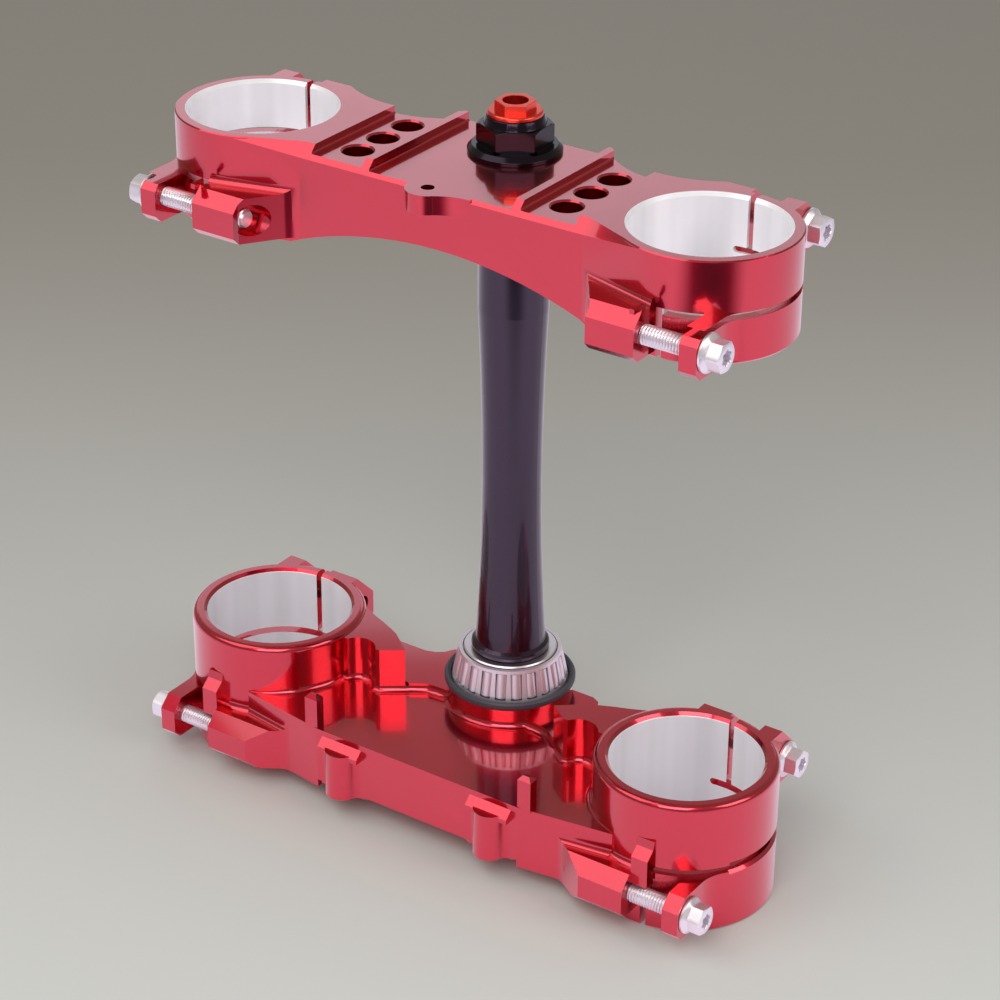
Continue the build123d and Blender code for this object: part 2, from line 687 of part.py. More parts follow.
    # horizontal slot between the bands, then the vertical slits
    for side in sides:
        with BuildSketch(Plane.XZ.offset(-(fork_y + 60))):
            with Locations((side * (slot_start_x + 40), low_slot_z)):
                SlotOverall(80, low_slot_h)
        extrude(amount=60, mode=Mode.SUBTRACT)
        with BuildSketch(Plane.XZ.offset(-fork_y)):
            with Locations((side * (low_front_slit_x + 30), low_slot_z)):
                Rectangle(60 + slit, low_slot_h)
        extrude(amount=60, mode=Mode.SUBTRACT)
        with BuildSketch(Plane.XY):
            with Locations((side * low_front_slit_x, fork_y - 36)):
                Rectangle(slit, 20)
        extrude(amount=low_slot_z, mode=Mode.SUBTRACT)
        with BuildSketch(Plane.XY.offset(low_slot_z)):
            with Locations((side * low_rear_slit_x, fork_y + 42)):
                Rectangle(slit, 40)
        extrude(amount=low_height - low_slot_z, mode=Mode.SUBTRACT)
        # broken edges of the slot on the outer side, from the front ear to the rear one
        start = -pi / 6 if side > 0 else 5 * pi / 6
        with BuildSketch(turned_fork_plane(side, start)):
            with BuildLine():
                slot_edge_outline(low_ring_r, low_slot_z, low_slot_h, slot_edge_cut)
            make_face()
        revolve(axis=fork_axis(side), revolution_arc=75 if side > 0 else -75, mode=Mode.SUBTRACT)
    # lugs that hang from the upper band in front of the slit, clear of the lower band
    for side in sides:
        with BuildSketch(Plane.YZ.offset(side * lug_x[0])):
            with BuildLine():
                ring_front = fork_y - low_ring_r
                Polyline(
                    (ring_front + 3, 41.5), (ring_front, 41.5), (ring_front - 1.0, 38.2),
                    (ring_front - 5.0, 34.8), (ring_front - 5.0, 22.6), (ring_front - 0.35, 22.6),
                    (ring_front - 0.35, low_slot_z + low_slot_h / 2),
                    (ring_front + 3, low_slot_z + low_slot_h / 2), close=True)
            make_face()
        extrude(amount=side * (lug_x[1] - lug_x[0]))
        with Locations((side * fork_x, fork_y, 0)):
            Cylinder(low_bore_r, low_height, mode=Mode.SUBTRACT,
                     align=(Align.CENTER, Align.CENTER, Align.MIN))
bottom_clamp.part.label = "bottom_clamp"
export_step(bottom_clamp.part, "parts/bottom_clamp.step")

# Stem, nut and cap bolt
bead_z = boss_z + bearing_width + 0.3
thread_end = seat_z + 9.0
waist_z = 139.0
neck_z = (70.0, 216.0)      # the stem's slender part flows into its ends here
neck_r = 14.4
cap_bore_r = cap_shank_r + slip_gap

with BuildPart() as steering_stem:
    with BuildSketch(Plane.XZ):
        with BuildLine():
            Polyline(
                (journal_r, bead_z), (journal_r, 0.8), (journal_r - 0.8, 0), (stem_bore_r, 0),
                (stem_bore_r, stem_bore_top), (cap_bore_r, stem_bore_top + 1),
                (cap_bore_r, thread_end), (thread_r - 1.2, thread_end),
                (thread_r, thread_end - 1.2), (thread_r, seat_z), (top_journal_r, seat_z),
                (top_journal_r, neck_z[1]),
            )
            TangentArc((stem_waist_r, waist_z), (top_journal_r, neck_z[1]), tangent=(0, 1))
            TangentArc((stem_waist_r, waist_z), (neck_r, neck_z[0]), tangent=(0, -1))
            Polyline((neck_r, neck_z[0]), (14.6, bead_z + 3.6), (16.0, bead_z + 2.6),
                     (16.3, bead_z + 1.4), (16.0, bead_z), (journal_r, bead_z))
        make_face()
    revolve(axis=Axis.Z, revolution_arc=360)
steering_stem.part.label = "steering_stem"
export_step(steering_stem.part, "parts/steering_stem.step")

hex_z0 = seat_z + nut_flange_t
hex_z1 = hex_z0 + nut_hex_h
nut_top = hex_z1 + nut_cone_h
with BuildPart() as stem_nut:
    # hexagon, its corners turned down at both ends
    hex_corner_r = nut_hex / sqrt(3)
    with BuildSketch(Plane.XY.offset(seat_z)):
        RegularPolygon(nut_hex / 2, 6, major_radius=False, rotation=nut_turn)
    extrude(amount=hex_z1 - seat_z)
    with BuildSketch(Plane.XZ):
        with BuildLine():
            Polyline(
                (0, seat_z), (hex_corner_r - nut_hex_cut, seat_z),
                (hex_corner_r - nut_hex_cut, hex_z0), (hex_corner_r + 0.2, hex_z0 + nut_hex_cut),
                (hex_corner_r + 0.2, hex_z1 - nut_hex_cut),
                (hex_corner_r - 1.6 * nut_hex_cut, hex_z1), (0, hex_z1), close=True)
        make_face()
    revolve(axis=Axis.Z, revolution_arc=360, mode=Mode.INTERSECT)
    # flange below and cone above
    with BuildSketch(Plane.XZ):
        with BuildLine():
            Polyline(
                (0, seat_z), (nut_flange_r, seat_z), (nut_flange_r, seat_z + nut_rim_t),
                (nut_shoulder_r, hex_z0), (nut_cone_base_r, hex_z0), (nut_cone_base_r, hex_z1),
                (nut_cone_r + 0.4, nut_top - 0.4), (nut_cone_r, nut_top), (0, nut_top),
                close=True)
        make_face()
    revolve(axis=Axis.Z, revolution_arc=360)
    with BuildSketch(Plane.XZ):
        with BuildLine():
            Polyline(
                (0, seat_z - 1), (thread_r + fit_gap, seat_z - 1),
                (thread_r + fit_gap, thread_end + 0.3), (cap_bore_r, thread_end + 0.3),
                (cap_bore_r, nut_top + 1), (0, nut_top + 1), close=True)
        make_face()
    revolve(axis=Axis.Z, revolution_arc=360, mode=Mode.SUBTRACT)
stem_nut.part.label = "stem_nut"
export_step(stem_nut.part, "parts/stem_nut.step")

with BuildPart() as stem_cap_bolt:
    with BuildSketch(Plane.XY.offset(nut_top)):
        Circle(cap_flange_r)
    extrude(amount=cap_flange_t)
    chamfer(stem_cap_bolt.edges().group_by(Axis.Z)[-1], length=0.6)
    with BuildSketch(Plane.XY.offset(nut_top)):
        RegularPolygon(cap_hex / 2, 6, major_radius=False, rotation=nut_turn)
    extrude(amount=cap_flange_t + cap_hex_h)
    with BuildSketch(Plane.XY.offset(nut_top)):
        Circle(cap_shank_r)
    extrude(amount=-cap_shank_len)
    with BuildSketch(Plane.XY.offset(nut_top + cap_flange_t + cap_hex_h)):
        Circle(cap_socket_r)
    extrude(amount=-cap_socket_d, mode=Mode.SUBTRACT)
stem_cap_bolt.part.label = "stem_cap_bolt"
export_step(stem_cap_bolt.part, "parts/stem_cap_bolt.step")

# Seal and bearing
race_low = (boss_z + 3.3, 18.9)       # height and radius of the raceway's wide end
race_high = (boss_z + 14.8, 17.3)
rib_r = 21.2
race_slope = atan2(race_low[1] - race_high[1], race_high[0] - race_low[0])
roller_r = (2.6, 2.25)
roller_len = 11.0
roller_slope = atan2(roller_r[0] - roller_r[1], roller_len)
roller_tilt = race_slope + roller_slope
shell_slope = roller_tilt + roller_slope
shell_r = 24.3
shell_t = 0.8
shell_z0 = boss_z + 1.9
shell_z1 = boss_z + 16.2
window_z = (boss_z + 3.4, boss_z + 14.8)
window_w = 4.6

with BuildPart() as dust_seal:
    with BuildSketch(Plane.XZ):
        with BuildLine():
            z = boss_z
            Polyline(
                (rib_r + 0.3, z), (boss_r, z), (seal_r - 0.3, z + 1.0), (seal_r, z + 1.8),
                (seal_r, z + 3.2), (seal_r - 0.5, z + 4.0), (seal_r - 1.3, z + seal_h),
                (seal_r - 2.5, z + 3.2), (seal_r - 2.5, z + 1.3), (rib_r + 0.3, z + 1.3),
                close=True)
        make_face()
    revolve(axis=Axis.Z, revolution_arc=360)
dust_seal.part.label = "dust_seal"
export_step(dust_seal.part, "parts/dust_seal.step")

with BuildPart() as bearing_inner_ring:
    with BuildSketch(Plane.XZ):
        with BuildLine():
            z1 = boss_z + bearing_width
            Polyline(
                (journal_r + fit_gap, boss_z), (rib_r, boss_z), (rib_r, race_low[0] - 0.4),
                (race_low[1], race_low[0] - 0.4), (race_low[1], race_low[0]),
                (race_high[1], race_high[0]), (race_top_r, race_high[0] + 0.2),
                (race_top_r, z1 - 0.5), (race_top_r - 0.5, z1), (journal_r + 1.0, z1),
                (journal_r + fit_gap, z1 - 1.0), close=True)
        make_face()
    revolve(axis=Axis.Z, revolution_arc=360)
bearing_inner_ring.part.label = "bearing_inner_ring"
export_step(bearing_inner_ring.part, "parts/bearing_inner_ring.step")

with BuildPart() as bearing_cage:
    with BuildSketch(Plane.XZ):
        with BuildLine():
            drop = (shell_z1 - shell_z0) * tan(shell_slope)
            Polyline(
                (shell_r, shell_z0), (shell_r - drop, shell_z1), (race_top_r + 0.5, shell_z1),
                (race_top_r + 0.5, shell_z1 - shell_t), (shell_r - drop - shell_t, shell_z1 - shell_t),
                (shell_r - shell_t, shell_z0), close=True)
        make_face()
    revolve(axis=Axis.Z, revolution_arc=360)
    with Locations((0, 0, (window_z[0] + window_z[1]) / 2)):
        with PolarLocations(shell_r - 3, roller_count):
            Box(10, window_w, window_z[1] - window_z[0], mode=Mode.SUBTRACT)
bearing_cage.part.label = "bearing_cage"
export_step(bearing_cage.part, "parts/bearing_cage.step")

with BuildPart() as bearing_rollers:
    # each roller stands beside the wide end of the raceway and leans inwards with it
    foot = race_low[1] + slip_gap + roller_r[0] * cos(roller_tilt)
    lean = Rotation(0, -degrees(roller_tilt), 0)
    with Locations((0, 0, race_low[0] + 0.6)):
        with PolarLocations(foot, roller_count):
            with Locations(lean):
                Cone(
                    *roller_r, roller_len - 0.4, align=(Align.CENTER, Align.CENTER, Align.MIN))
bearing_rollers.part.label = "bearing_rollers"
export_step(bearing_rollers.part, "parts/bearing_rollers.step")

# Clamp bolts
bolts = (
    ("top_front_bolt", top_front_bolt, top_band_ear_x[1], front_bolt_len),
    ("top_rear_bolt", top_rear_bolt, top_rear_band_x[1], rear_bolt_len),
    ("bottom_front_bolt", low_front_bolt, low_band_ear_x[1], front_bolt_len),
    ("bottom_rear_bolt", low_rear_bolt, low_rear_band_x[1], rear_bolt_len),
)
for name, (y, z), x_face, length in bolts:
    for side, word in ((1, "right"), (-1, "left")):
        with BuildPart() as clamp_bolt:
            with BuildSketch(Plane(origin=(0, y, z), x_dir=(1, 0, 0), z_dir=(0, -1, 0))):
                x_tip = x_face - length
                with BuildLine():
                    Polyline(
                        (side * x_tip, 0), (side * x_tip, bolt_r - bolt_tip_cut),
                        (side * (x_tip + bolt_tip_cut), bolt_r), (side * x_face, bolt_r),
                        (side * x_face, bolt_flange_r), (side * (x_face + 0.8), bolt_flange_r),
                        (side * (x_face + bolt_flange_t), bolt_flange_r - 0.8),
                        (side * (x_face + bolt_flange_t), 0), close=True)
                make_face()
            revolve(axis=Axis((0, y, z), (1, 0, 0)), revolution_arc=360)
            seat = Plane(origin=(side * x_face, y, z), x_dir=(0, 0, 1), z_dir=(side, 0, 0))
            with BuildSketch(seat):
                RegularPolygon(bolt_hex / 2, 6, major_radius=False)
            extrude(amount=bolt_head_h)
            with BuildSketch(seat.offset(bolt_head_h)):
                Circle(bolt_recess_r)
            extrude(amount=-bolt_recess_d, mode=Mode.SUBTRACT)
        clamp_bolt.part.label = f"{name}_{word}"
        export_step(clamp_bolt.part, f"parts/{name}_{word}.step")
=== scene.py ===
"""Dressed scene of the motorcycle triple clamp, laid out as an add-on and run as a script."""

import json
from math import pi, radians

import bpy
import numpy as np
from mathutils import Matrix, Vector


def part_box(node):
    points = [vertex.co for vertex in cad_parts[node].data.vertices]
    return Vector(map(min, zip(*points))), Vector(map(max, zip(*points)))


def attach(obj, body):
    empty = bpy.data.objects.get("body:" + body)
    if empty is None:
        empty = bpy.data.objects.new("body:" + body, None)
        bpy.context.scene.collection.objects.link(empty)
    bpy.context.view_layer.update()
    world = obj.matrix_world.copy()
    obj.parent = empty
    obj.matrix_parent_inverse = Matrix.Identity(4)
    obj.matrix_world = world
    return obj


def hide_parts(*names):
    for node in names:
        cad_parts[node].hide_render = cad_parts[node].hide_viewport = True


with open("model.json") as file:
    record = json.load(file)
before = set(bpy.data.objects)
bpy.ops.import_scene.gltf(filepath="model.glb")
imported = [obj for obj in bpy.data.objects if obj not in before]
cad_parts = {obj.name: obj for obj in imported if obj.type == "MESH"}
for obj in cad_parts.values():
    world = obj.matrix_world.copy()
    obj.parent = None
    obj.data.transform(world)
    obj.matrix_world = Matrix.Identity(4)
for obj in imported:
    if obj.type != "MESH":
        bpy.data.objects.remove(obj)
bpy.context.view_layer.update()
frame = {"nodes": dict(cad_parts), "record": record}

bl_info = {
    "name": "Triple Clamp Dresser",
    "version": (1, 0, 0),
    "blender": (4, 5, 0),
    "location": "3D View > Sidebar > Triple Clamp",
    "description": "Finishes a fork clamp assembly and lights it in a small studio",
    "category": "Object",
}

NODES = frame["nodes"]
MM = 0.001

# Places taken from the frame's own mounts, in metres
MOUNTS = {m["name"]: m for m in frame["record"]["mounts"]}
FORK = MOUNTS["top_fork_clamp_right"]["pos_m"]
BORE = {"top_clamp": MOUNTS["top_fork_clamp_right"]["dims"]["r_mm"] * MM,
        "bottom_clamp": MOUNTS["bottom_fork_clamp_right"]["dims"]["r_mm"] * MM}
BOLT_NODES = sorted(name for name in NODES if "_bolt_" in name)

# Camera solved from the rims of the four fork bores, in the row frame
CAMERA_PLACE = (590.98 * MM, -871.19 * MM, 693.62 * MM)
CAMERA_AZIMUTH, CAMERA_ELEVATION, CAMERA_ROLL = 34.41, 28.19, 0.43
CAMERA_FOCAL_PX, PHOTO_PX, SENSOR = 2941.6, 1000, 36.0

# Lamps: place, width and height, all in metres, the point that they face, and their colours
KEY_LAMP = (-0.6, -0.65, 1.3), (1.0, 1.0)
FILL_LAMP = (1.1, 0.1, 0.9), (0.7, 0.7)
FRONT_LAMP = (0.45, -1.15, 1.2), (1.0, 1.0)
BACK_LAMP = (-1.15, 1.6, 0.9), (1.9, 0.55)
LAMP_AIM = Vector((0, 0, 0.15))
WARM, COOL = (1.0, 0.97, 0.96), (0.7, 0.84, 1.0)
SKY_COLOUR = (0.95, 0.93, 0.97)

# Floor: radii of its first and last ring in metres, number of rings and of steps round them
FLOOR_RADII, FLOOR_RINGS, FLOOR_AROUND = (0.02, 9.0), 12, 64
FLOOR_ROUGHNESS, FLOOR_SPECULAR = 0.9, 0.1
# Depths, seen from the camera's side, between which the floor goes from its near to its far colour:
# painted shade, a fall-off of light painted into the floor that darkens it away from the camera
FLOOR_PAINTED_FALLOFF = (-0.25, 0.75)
# Painted shade: an unlit place painted on the floor that only mirroring metal shows: middle,
# distances of its fade, colour
SHADE_PLACE, SHADE_FADE, SHADE = (0.5, -0.6, 0.0), (0.22, 0.52), (0.05, 0.05, 0.06)

# Grain of the metals: scales of the fine and the broad noise, and the part of its range in use
FINE_GRAIN, BROAD_GRAIN, GRAIN_SPAN = 900.0, 38.0, (0.3, 0.7)
BUMP_HEIGHT = 0.2 * MM
COAT_ROUGHNESS = 0.06
CLEAR_COAT_IOR = 1.66
# The nut's black as a share of the stem's
NUT_SHADE = 0.5

# Bored faces: gloss, turning marks, and upright streaks of painted reflection that dim the bare
# metal's colour a little
BARE_METALLIC, BARE_ROUGHNESS = 0.3, 0.3
TURNING_SCALE, TURNING_DISTORTION, TURNING_BUMP = 420.0, 1.5, 0.05
STREAK_SCALE, STREAK_SPAN, PAINTED_REFLECTION_SHEEN = 70.0, (0.35, 0.65), (0.86, 1.0)
# How far the bare metal reaches past the bore: over the rim's chamfer on the upper clamp only
BARE_RIM = {"top_clamp": 1.45 * MM, "bottom_clamp": 0.12 * MM}

# Clean-up of the CAD nodes' meshes before their edges are rounded
WELD_GAP, FLAT_ANGLE = 0.002 * MM, radians(0.6)
ROUNDED_ANGLE, ROUNDED_STEPS = radians(32), 2
SHARP_ANGLE = radians(30)
NUT_EDGE, CAP_EDGE = 0.35 * MM, 0.3 * MM

# Clamp bolts: M8 thread, flange, rounded hexagon and star recess
BOLT_HEAD, BOLT_R, PITCH, THREAD_DEPTH = 8.0 * MM, 4.0 * MM, 1.25 * MM, 0.6 * MM
FLANGE_R, FLATS, TOP_R, STAR_R, STAR_WAVE = 7.5 * MM, 10.8 * MM, 5.0 * MM, 2.75 * MM, 0.42 * MM
BOLT_AROUND, ROWS_PER_TURN = 48, 6
# Shank: how much narrower its tip is, and the plain lengths at the tip and under the head
TIP_CUT, TIP_LENGTH, NECK_LENGTH = 0.9 * MM, 1.0 * MM, 0.3 * MM
# Head: roundings of flange and recess, and heights above the seat of flange, flare and hexagon
FLANGE_EDGE, FLANGE_WALL, FLANGE_TOP = 0.3 * MM, 1.1 * MM, 1.5 * MM
FLARE_Z, FLARE, HEXAGON_Z = 2.1 * MM, 0.45 * MM, 2.6 * MM
# Head: reach of the hexagon's corners over half its flats, and slope of the chamfer above them
CORNER_REACH, CHAMFER_SLOPE = 1.125, 0.55
RECESS_EDGE, RECESS_WALL, RECESS_DEPTH = 0.3 * MM, 3.4 * MM, 3.8 * MM
# Each bolt is turned this much further round its axis than the one before
BOLT_TURN = 17

# Feet of the lower clamp's walls and rings, right half, in mm: rounded inner corners
FLOOR_Z, FOOT_R = 36.7, 2.5
BOSS_R, BOSS_ARC, BOSS_STEPS = 26.0, (-90, -41.7), 16
DECK_LINE = [(24.5, -17.3), (30.0, -18.0), (36.0, -21.9), (37.4, -23.2), (46.2, -29.5)]
SCALLOP, SCALLOP_R, SCALLOP_RISE, SCALLOP_STEPS = (55.5, -33.0), 8.0, 3.5, 18
LOW_RING_R, RING_ARC, RING_STEPS = 37.05, (185.4, 252.0), 28
# The foot grows from its least share of the radius to all of it over this many points of the path
FOOT_FADE, FOOT_LEAST = 12, 0.15
# Points on the quarter round, and how far it is sunk into wall and floor, as a share of the radius
FOOT_STEPS, FOOT_SUNK = 9, 0.1


class ClampFinish(bpy.types.PropertyGroup):
    """Sizes and colours of the finishes"""
    edge_break: bpy.props.FloatProperty(
        name="Edge break", description="Width of the small rounded edges of the milled parts",
        default=0.7 * MM, min=0.0, unit="LENGTH")
    red: bpy.props.FloatVectorProperty(
        name="Red anodising", description="Colour of the dyed clamps",
        subtype="COLOR", size=3, default=(0.6, 0.004, 0.034))
    bare: bpy.props.FloatVectorProperty(
        name="Bare aluminium", description="Colour of the bored faces",
        subtype="COLOR", size=3, default=(0.98, 0.97, 1.0))
    black: bpy.props.FloatVectorProperty(
        name="Black anodising", description="Colour of the stem and, darker, of its nut",
        subtype="COLOR", size=3, default=(0.045, 0.03, 0.052))
    orange: bpy.props.FloatVectorProperty(
        name="Orange anodising", description="Colour of the cap bolt",
        subtype="COLOR", size=3, default=(0.95, 0.1, 0.07))
    zinc: bpy.props.FloatVectorProperty(
        name="Zinc plating", description="Colour of the clamp bolts",
        subtype="COLOR", size=3, default=(0.88, 0.84, 0.91))
    steel: bpy.props.FloatVectorProperty(
        name="Bearing steel", description="Colour of the ring, cage and rollers of the bearing",
        subtype="COLOR", size=3, default=(0.84, 0.76, 0.83))
    rubber: bpy.props.FloatVectorProperty(
        name="Seal rubber", description="Colour of the lip seal",
        subtype="COLOR", size=3, default=(0.05, 0.05, 0.064))


class StudioSettings(bpy.types.PropertyGroup):
    """Colours of the floor and strengths of the lights"""
    # Near and far floor colours: painted shade, the floor painted darker with distance as if the
    # light fell off; the far colour is also the backdrop's
    near_floor: bpy.props.FloatVectorProperty(
        name="Near floor", description="Colour of the floor on the camera's side of the clamps",
        subtype="COLOR", size=3, default=(0.6, 0.62, 0.58))
    far_floor: bpy.props.FloatVectorProperty(
        name="Far floor", description="Colour of the floor and surroundings behind the clamps",
        subtype="COLOR", size=3, default=(0.32, 0.298, 0.25))
    # Painted reflection: the floor's colour where polished metal mirrors it, paler than the camera
    # sees it
    painted_reflection_floor: bpy.props.FloatVectorProperty(
        name="Mirrored floor", description="Colour of the floor as the polished metal shows it",
        subtype="COLOR", size=3, default=(0.97, 0.9, 1.0))
    key_power: bpy.props.FloatProperty(
        name="Key lamp", description="Power of the large soft lamp above the camera's left",
        default=4.6, min=0.0, unit="POWER")
    fill_power: bpy.props.FloatProperty(
        name="Fill lamp", description="Power of the soft lamp at the right",
        default=4.0, min=0.0, unit="POWER")
    back_power: bpy.props.FloatProperty(
        name="Back lamp", description="Power of the wide lamp behind, which the level faces mirror",
        default=2.8, min=0.0, unit="POWER")
    front_power: bpy.props.FloatProperty(
        name="Front lamp",
        description="Power of the soft lamp above the camera, which lights the bores",
        default=11.0, min=0.0, unit="POWER")
    sky: bpy.props.FloatProperty(
        name="Surroundings", description="Strength of the even light from all around",
        default=0.5, min=0.0)


def node(tree, kind, inputs=None, **values):
    """Adds one shader node, sets its properties and its unlinked sockets."""
    made = tree.nodes.new(kind)
    for key, value in values.items():
        setattr(made, key, value)
    for key, value in (inputs or {}).items():
        made.inputs[key].default_value = value
    return made


def maths(tree, operation, first, second=None):
    """A Math node; each operand is a socket or a number."""
    made = node(tree, "ShaderNodeMath", operation=operation)
    for index, operand in enumerate((first, second)):
        if operand is None:
            continue
        if isinstance(operand, (int, float)):
            made.inputs[index].default_value = operand
        else:
            tree.links.new(operand, made.inputs[index])
    return made.outputs[0]


def metal(name, colour, roughness, variation=0.06, bump=0.02, coat=0.0, metallic=1.0,
          tint=0.06, coat_ior=1.5):
    """Fine-grained finish, of metal unless metallic is zero.

    Broad noise moves the roughness and the colour a little, and fine noise lifts a faint bump.
    """
    material = bpy.data.materials.new(name)
    material.use_nodes = True
    tree = material.node_tree
    shader = tree.nodes["Principled BSDF"]
    shader.inputs["Metallic"].default_value = metallic
    shader.inputs["Coat Weight"].default_value = coat
    shader.inputs["Coat Roughness"].default_value = COAT_ROUGHNESS
    shader.inputs["Coat IOR"].default_value = coat_ior
    place = node(tree, "ShaderNodeTexCoord")
    fine = node(tree, "ShaderNodeTexNoise", {"Scale": FINE_GRAIN, "Detail": 4.0, "Roughness": 0.6})
    broad = node(tree, "ShaderNodeTexNoise",
                 {"Scale": BROAD_GRAIN, "Detail": 2.0, "Roughness": 0.5})
    tree.links.new(place.outputs["Object"], fine.inputs["Vector"])
    tree.links.new(place.outputs["Object"], broad.inputs["Vector"])
    rough = node(tree, "ShaderNodeMapRange", {
        "From Min": GRAIN_SPAN[0], "From Max": GRAIN_SPAN[1],
        "To Min": roughness - variation, "To Max": roughness + variation})
    tree.links.new(broad.outputs["Fac"], rough.inputs["Value"])
    tree.links.new(rough.outputs["Result"], shader.inputs["Roughness"])
    shade = node(tree, "ShaderNodeMix", data_type="RGBA")
    shade.inputs["A"].default_value = (*[c * (1 - tint) for c in colour], 1)
    shade.inputs["B"].default_value = (*[min(1.0, c * (1 + tint)) for c in colour], 1)
    tree.links.new(broad.outputs["Fac"], shade.inputs["Factor"])
    tree.links.new(shade.outputs["Result"], shader.inputs["Base Color"])
    lift = node(tree, "ShaderNodeBump", {"Strength": bump, "Distance": BUMP_HEIGHT})
    tree.links.new(fine.outputs["Fac"], lift.inputs["Height"])
    tree.links.new(lift.outputs["Normal"], shader.inputs["Normal"])
    return material


def bored_red(name, finish, bore_radius, rim):
    """Red anodising, with bare turned metal up to a small step, the rim, past the fork bores."""
    material = metal(name, finish.red, roughness=0.24, variation=0.03, bump=0.01, coat=1.0,
                     coat_ior=CLEAR_COAT_IOR)
    tree = material.node_tree
    output = tree.nodes["Material Output"]
    red = tree.nodes["Principled BSDF"]
    bare = node(tree, "ShaderNodeBsdfPrincipled",
                {"Metallic": BARE_METALLIC, "Roughness": BARE_ROUGHNESS})
    place = node(tree, "ShaderNodeTexCoord")

    # distance from the nearer fork leg's axis
    axes = node(tree, "ShaderNodeSeparateXYZ")
    tree.links.new(place.outputs["Object"], axes.inputs["Vector"])
    across = maths(tree, "SUBTRACT", maths(tree, "ABSOLUTE", axes.outputs["X"]), FORK[0])
    along = maths(tree, "SUBTRACT", axes.outputs["Y"], FORK[1])
    square = maths(tree, "ADD", maths(tree, "MULTIPLY", across, across),
                   maths(tree, "MULTIPLY", along, along))
    radius = maths(tree, "SQRT", square)
    inside = maths(tree, "LESS_THAN", radius, bore_radius + rim)

    # upright streaks of painted reflection: noise that is flattened along the bore darkens the bare
    # colour in bands
    upright = node(tree, "ShaderNodeMapping")
    upright.inputs["Scale"].default_value = (1.0, 1.0, 0.0)
    streaks = node(tree, "ShaderNodeTexNoise", {"Scale": STREAK_SCALE, "Detail": 2.0})
    tree.links.new(place.outputs["Object"], upright.inputs["Vector"])
    tree.links.new(upright.outputs["Vector"], streaks.inputs["Vector"])
    painted_reflection = node(tree, "ShaderNodeMapRange", {
        "From Min": STREAK_SPAN[0], "From Max": STREAK_SPAN[1],
        "To Min": PAINTED_REFLECTION_SHEEN[0], "To Max": PAINTED_REFLECTION_SHEEN[1]})
    tree.links.new(streaks.outputs["Fac"], painted_reflection.inputs["Value"])
    tint = node(tree, "ShaderNodeVectorMath", operation="SCALE")
    tint.inputs[0].default_value = tuple(finish.bare)
    tree.links.new(painted_reflection.outputs["Result"], tint.inputs["Scale"])
    tree.links.new(tint.outputs["Vector"], bare.inputs["Base Color"])

    # turning marks: fine level bands
    turned = node(tree, "ShaderNodeTexWave", {
        "Scale": TURNING_SCALE, "Distortion": TURNING_DISTORTION, "Detail": 2.0},
        wave_type="BANDS", bands_direction="Z")
    tree.links.new(place.outputs["Object"], turned.inputs["Vector"])
    marks = node(tree, "ShaderNodeBump", {"Strength": TURNING_BUMP, "Distance": BUMP_HEIGHT})
    tree.links.new(turned.outputs["Fac"], marks.inputs["Height"])
    tree.links.new(marks.outputs["Normal"], bare.inputs["Normal"])

    both = node(tree, "ShaderNodeMixShader")
    tree.links.new(inside, both.inputs["Fac"])
    tree.links.new(red.outputs["BSDF"], both.inputs[1])
    tree.links.new(bare.outputs["BSDF"], both.inputs[2])
    tree.links.new(both.outputs["Shader"], output.inputs["Surface"])
    return material


def dress(node_name, material):
    """Puts a material on a CAD node that keeps its own mesh."""
    made = NODES[node_name]
    for index in range(len(made.material_slots)):
        made.material_slots[index].material = material


def smoothing():
    """Geometry nodes that shade faces smooth and keep the edges over the sharp angle sharp."""
    name = "Smooth by angle"
    if name in bpy.data.node_groups:
        return bpy.data.node_groups[name]
    group = bpy.data.node_groups.new(name, "GeometryNodeTree")
    group.interface.new_socket("Geometry", in_out="INPUT", socket_type="NodeSocketGeometry")
    group.interface.new_socket("Geometry", in_out="OUTPUT", socket_type="NodeSocketGeometry")
    start = group.nodes.new("NodeGroupInput")
    end = group.nodes.new("NodeGroupOutput")
    soft = group.nodes.new("GeometryNodeSetShadeSmooth")
    crisp = group.nodes.new("GeometryNodeSetShadeSmooth")
    crisp.domain = "EDGE"
    crisp.inputs["Shade Smooth"].default_value = False
    angle = group.nodes.new("GeometryNodeInputMeshEdgeAngle")
    test = group.nodes.new("FunctionNodeCompare")
    test.operation = "GREATER_THAN"
    test.inputs["B"].default_value = SHARP_ANGLE
    group.links.new(angle.outputs["Unsigned Angle"], test.inputs["A"])
    group.links.new(test.outputs["Result"], crisp.inputs["Selection"])
    group.links.new(start.outputs["Geometry"], soft.inputs["Geometry"])
    group.links.new(soft.outputs["Geometry"], crisp.inputs["Geometry"])
    group.links.new(crisp.outputs["Geometry"], end.inputs["Geometry"])
    return group


def shade_smooth(made):
    """Gives a piece or a CAD node the smoothing by angle."""
    smooth = made.modifiers.new("Smooth", "NODES")
    smooth.node_group = smoothing()


def break_edges(node_name, width):
    """Welds a CAD node's loose triangles, merges its flat faces and rounds its sharp edges."""
    made = NODES[node_name]
    weld = made.modifiers.new("Weld", "WELD")
    weld.merge_threshold = WELD_GAP
    flat = made.modifiers.new("Flat faces", "DECIMATE")
    flat.decimate_type = "DISSOLVE"
    flat.angle_limit = FLAT_ANGLE
    bevel = made.modifiers.new("Edge break", "BEVEL")
    bevel.width = width
    bevel.segments = ROUNDED_STEPS
    bevel.limit_method = "ANGLE"
    bevel.angle_limit = ROUNDED_ANGLE
    bevel.miter_outer = "MITER_ARC"
    shade_smooth(made)
    weight = made.modifiers.new("Weighted normals", "WEIGHTED_NORMAL")
    weight.keep_sharp = True


